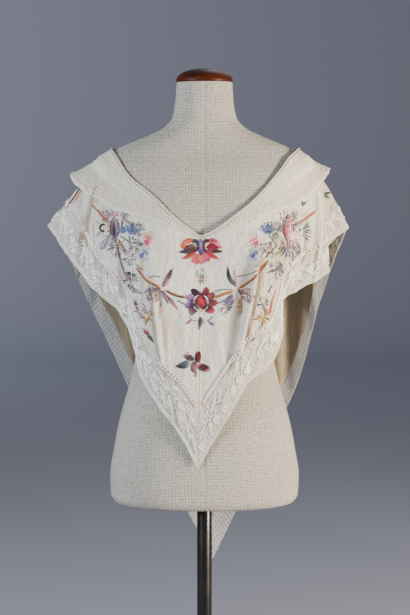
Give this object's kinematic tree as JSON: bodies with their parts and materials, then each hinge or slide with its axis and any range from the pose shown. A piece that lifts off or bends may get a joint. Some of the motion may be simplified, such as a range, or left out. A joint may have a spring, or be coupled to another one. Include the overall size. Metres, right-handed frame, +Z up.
{
  "type": "canezou on a limbless dress form",
  "caption": "Pointed shoulder cape of fine muslin with a wide collar, openwork seams and embroidered borders, worn on a linen dress form with a pole and a round base.",
  "frame": {"origin": "centre of the round base's underside, where the stand rests on the floor", "axes": "+Z up along the pole, the front of the form and of the cape faces -Y, +X to the right of a person who looks at the front"},
  "size_m": [0.533, 0.34, 1.1843],
  "materials": {
    "linen": "coarse plain weave, unbleached",
    "mahogany": "polished, dark red-brown",
    "black_metal": "gloss black",
    "muslin": "fine ivory muslin with coloured silk embroidery",
    "whitework": "muslin with raised white satin stitch, slightly glossy",
    "collar_cotton": "stiff cream cotton with drawn-thread dots",
    "net": "fine dotted net, matt",
    "openwork": "openwork insertion with whipped edges"
  },
  "bodies": {
    "root": {"form_torso": "linen", "neck_cap": "mahogany", "pole": "black_metal", "pole_ferrule": "black_metal", "stand_base": "black_metal", "stand_hub": "black_metal", "front_panel_left": "muslin", "front_panel_right": "muslin", "back_panel": "muslin", "front_border_left": "whitework", "front_border_right": "whitework", "shoulder_border_left": "whitework", "shoulder_border_right": "whitework", "collar_left": "collar_cotton", "collar_right": "collar_cotton", "collar_back": "collar_cotton", "neck_binding_left": "collar_cotton", "neck_binding_right": "collar_cotton", "neck_binding_back": "collar_cotton", "net_edging_left": "net", "net_edging_right": "net", "seam_insertion_left": "openwork", "seam_insertion_right": "openwork", "centre_insertion": "openwork"}
  },
  "joints": []
}
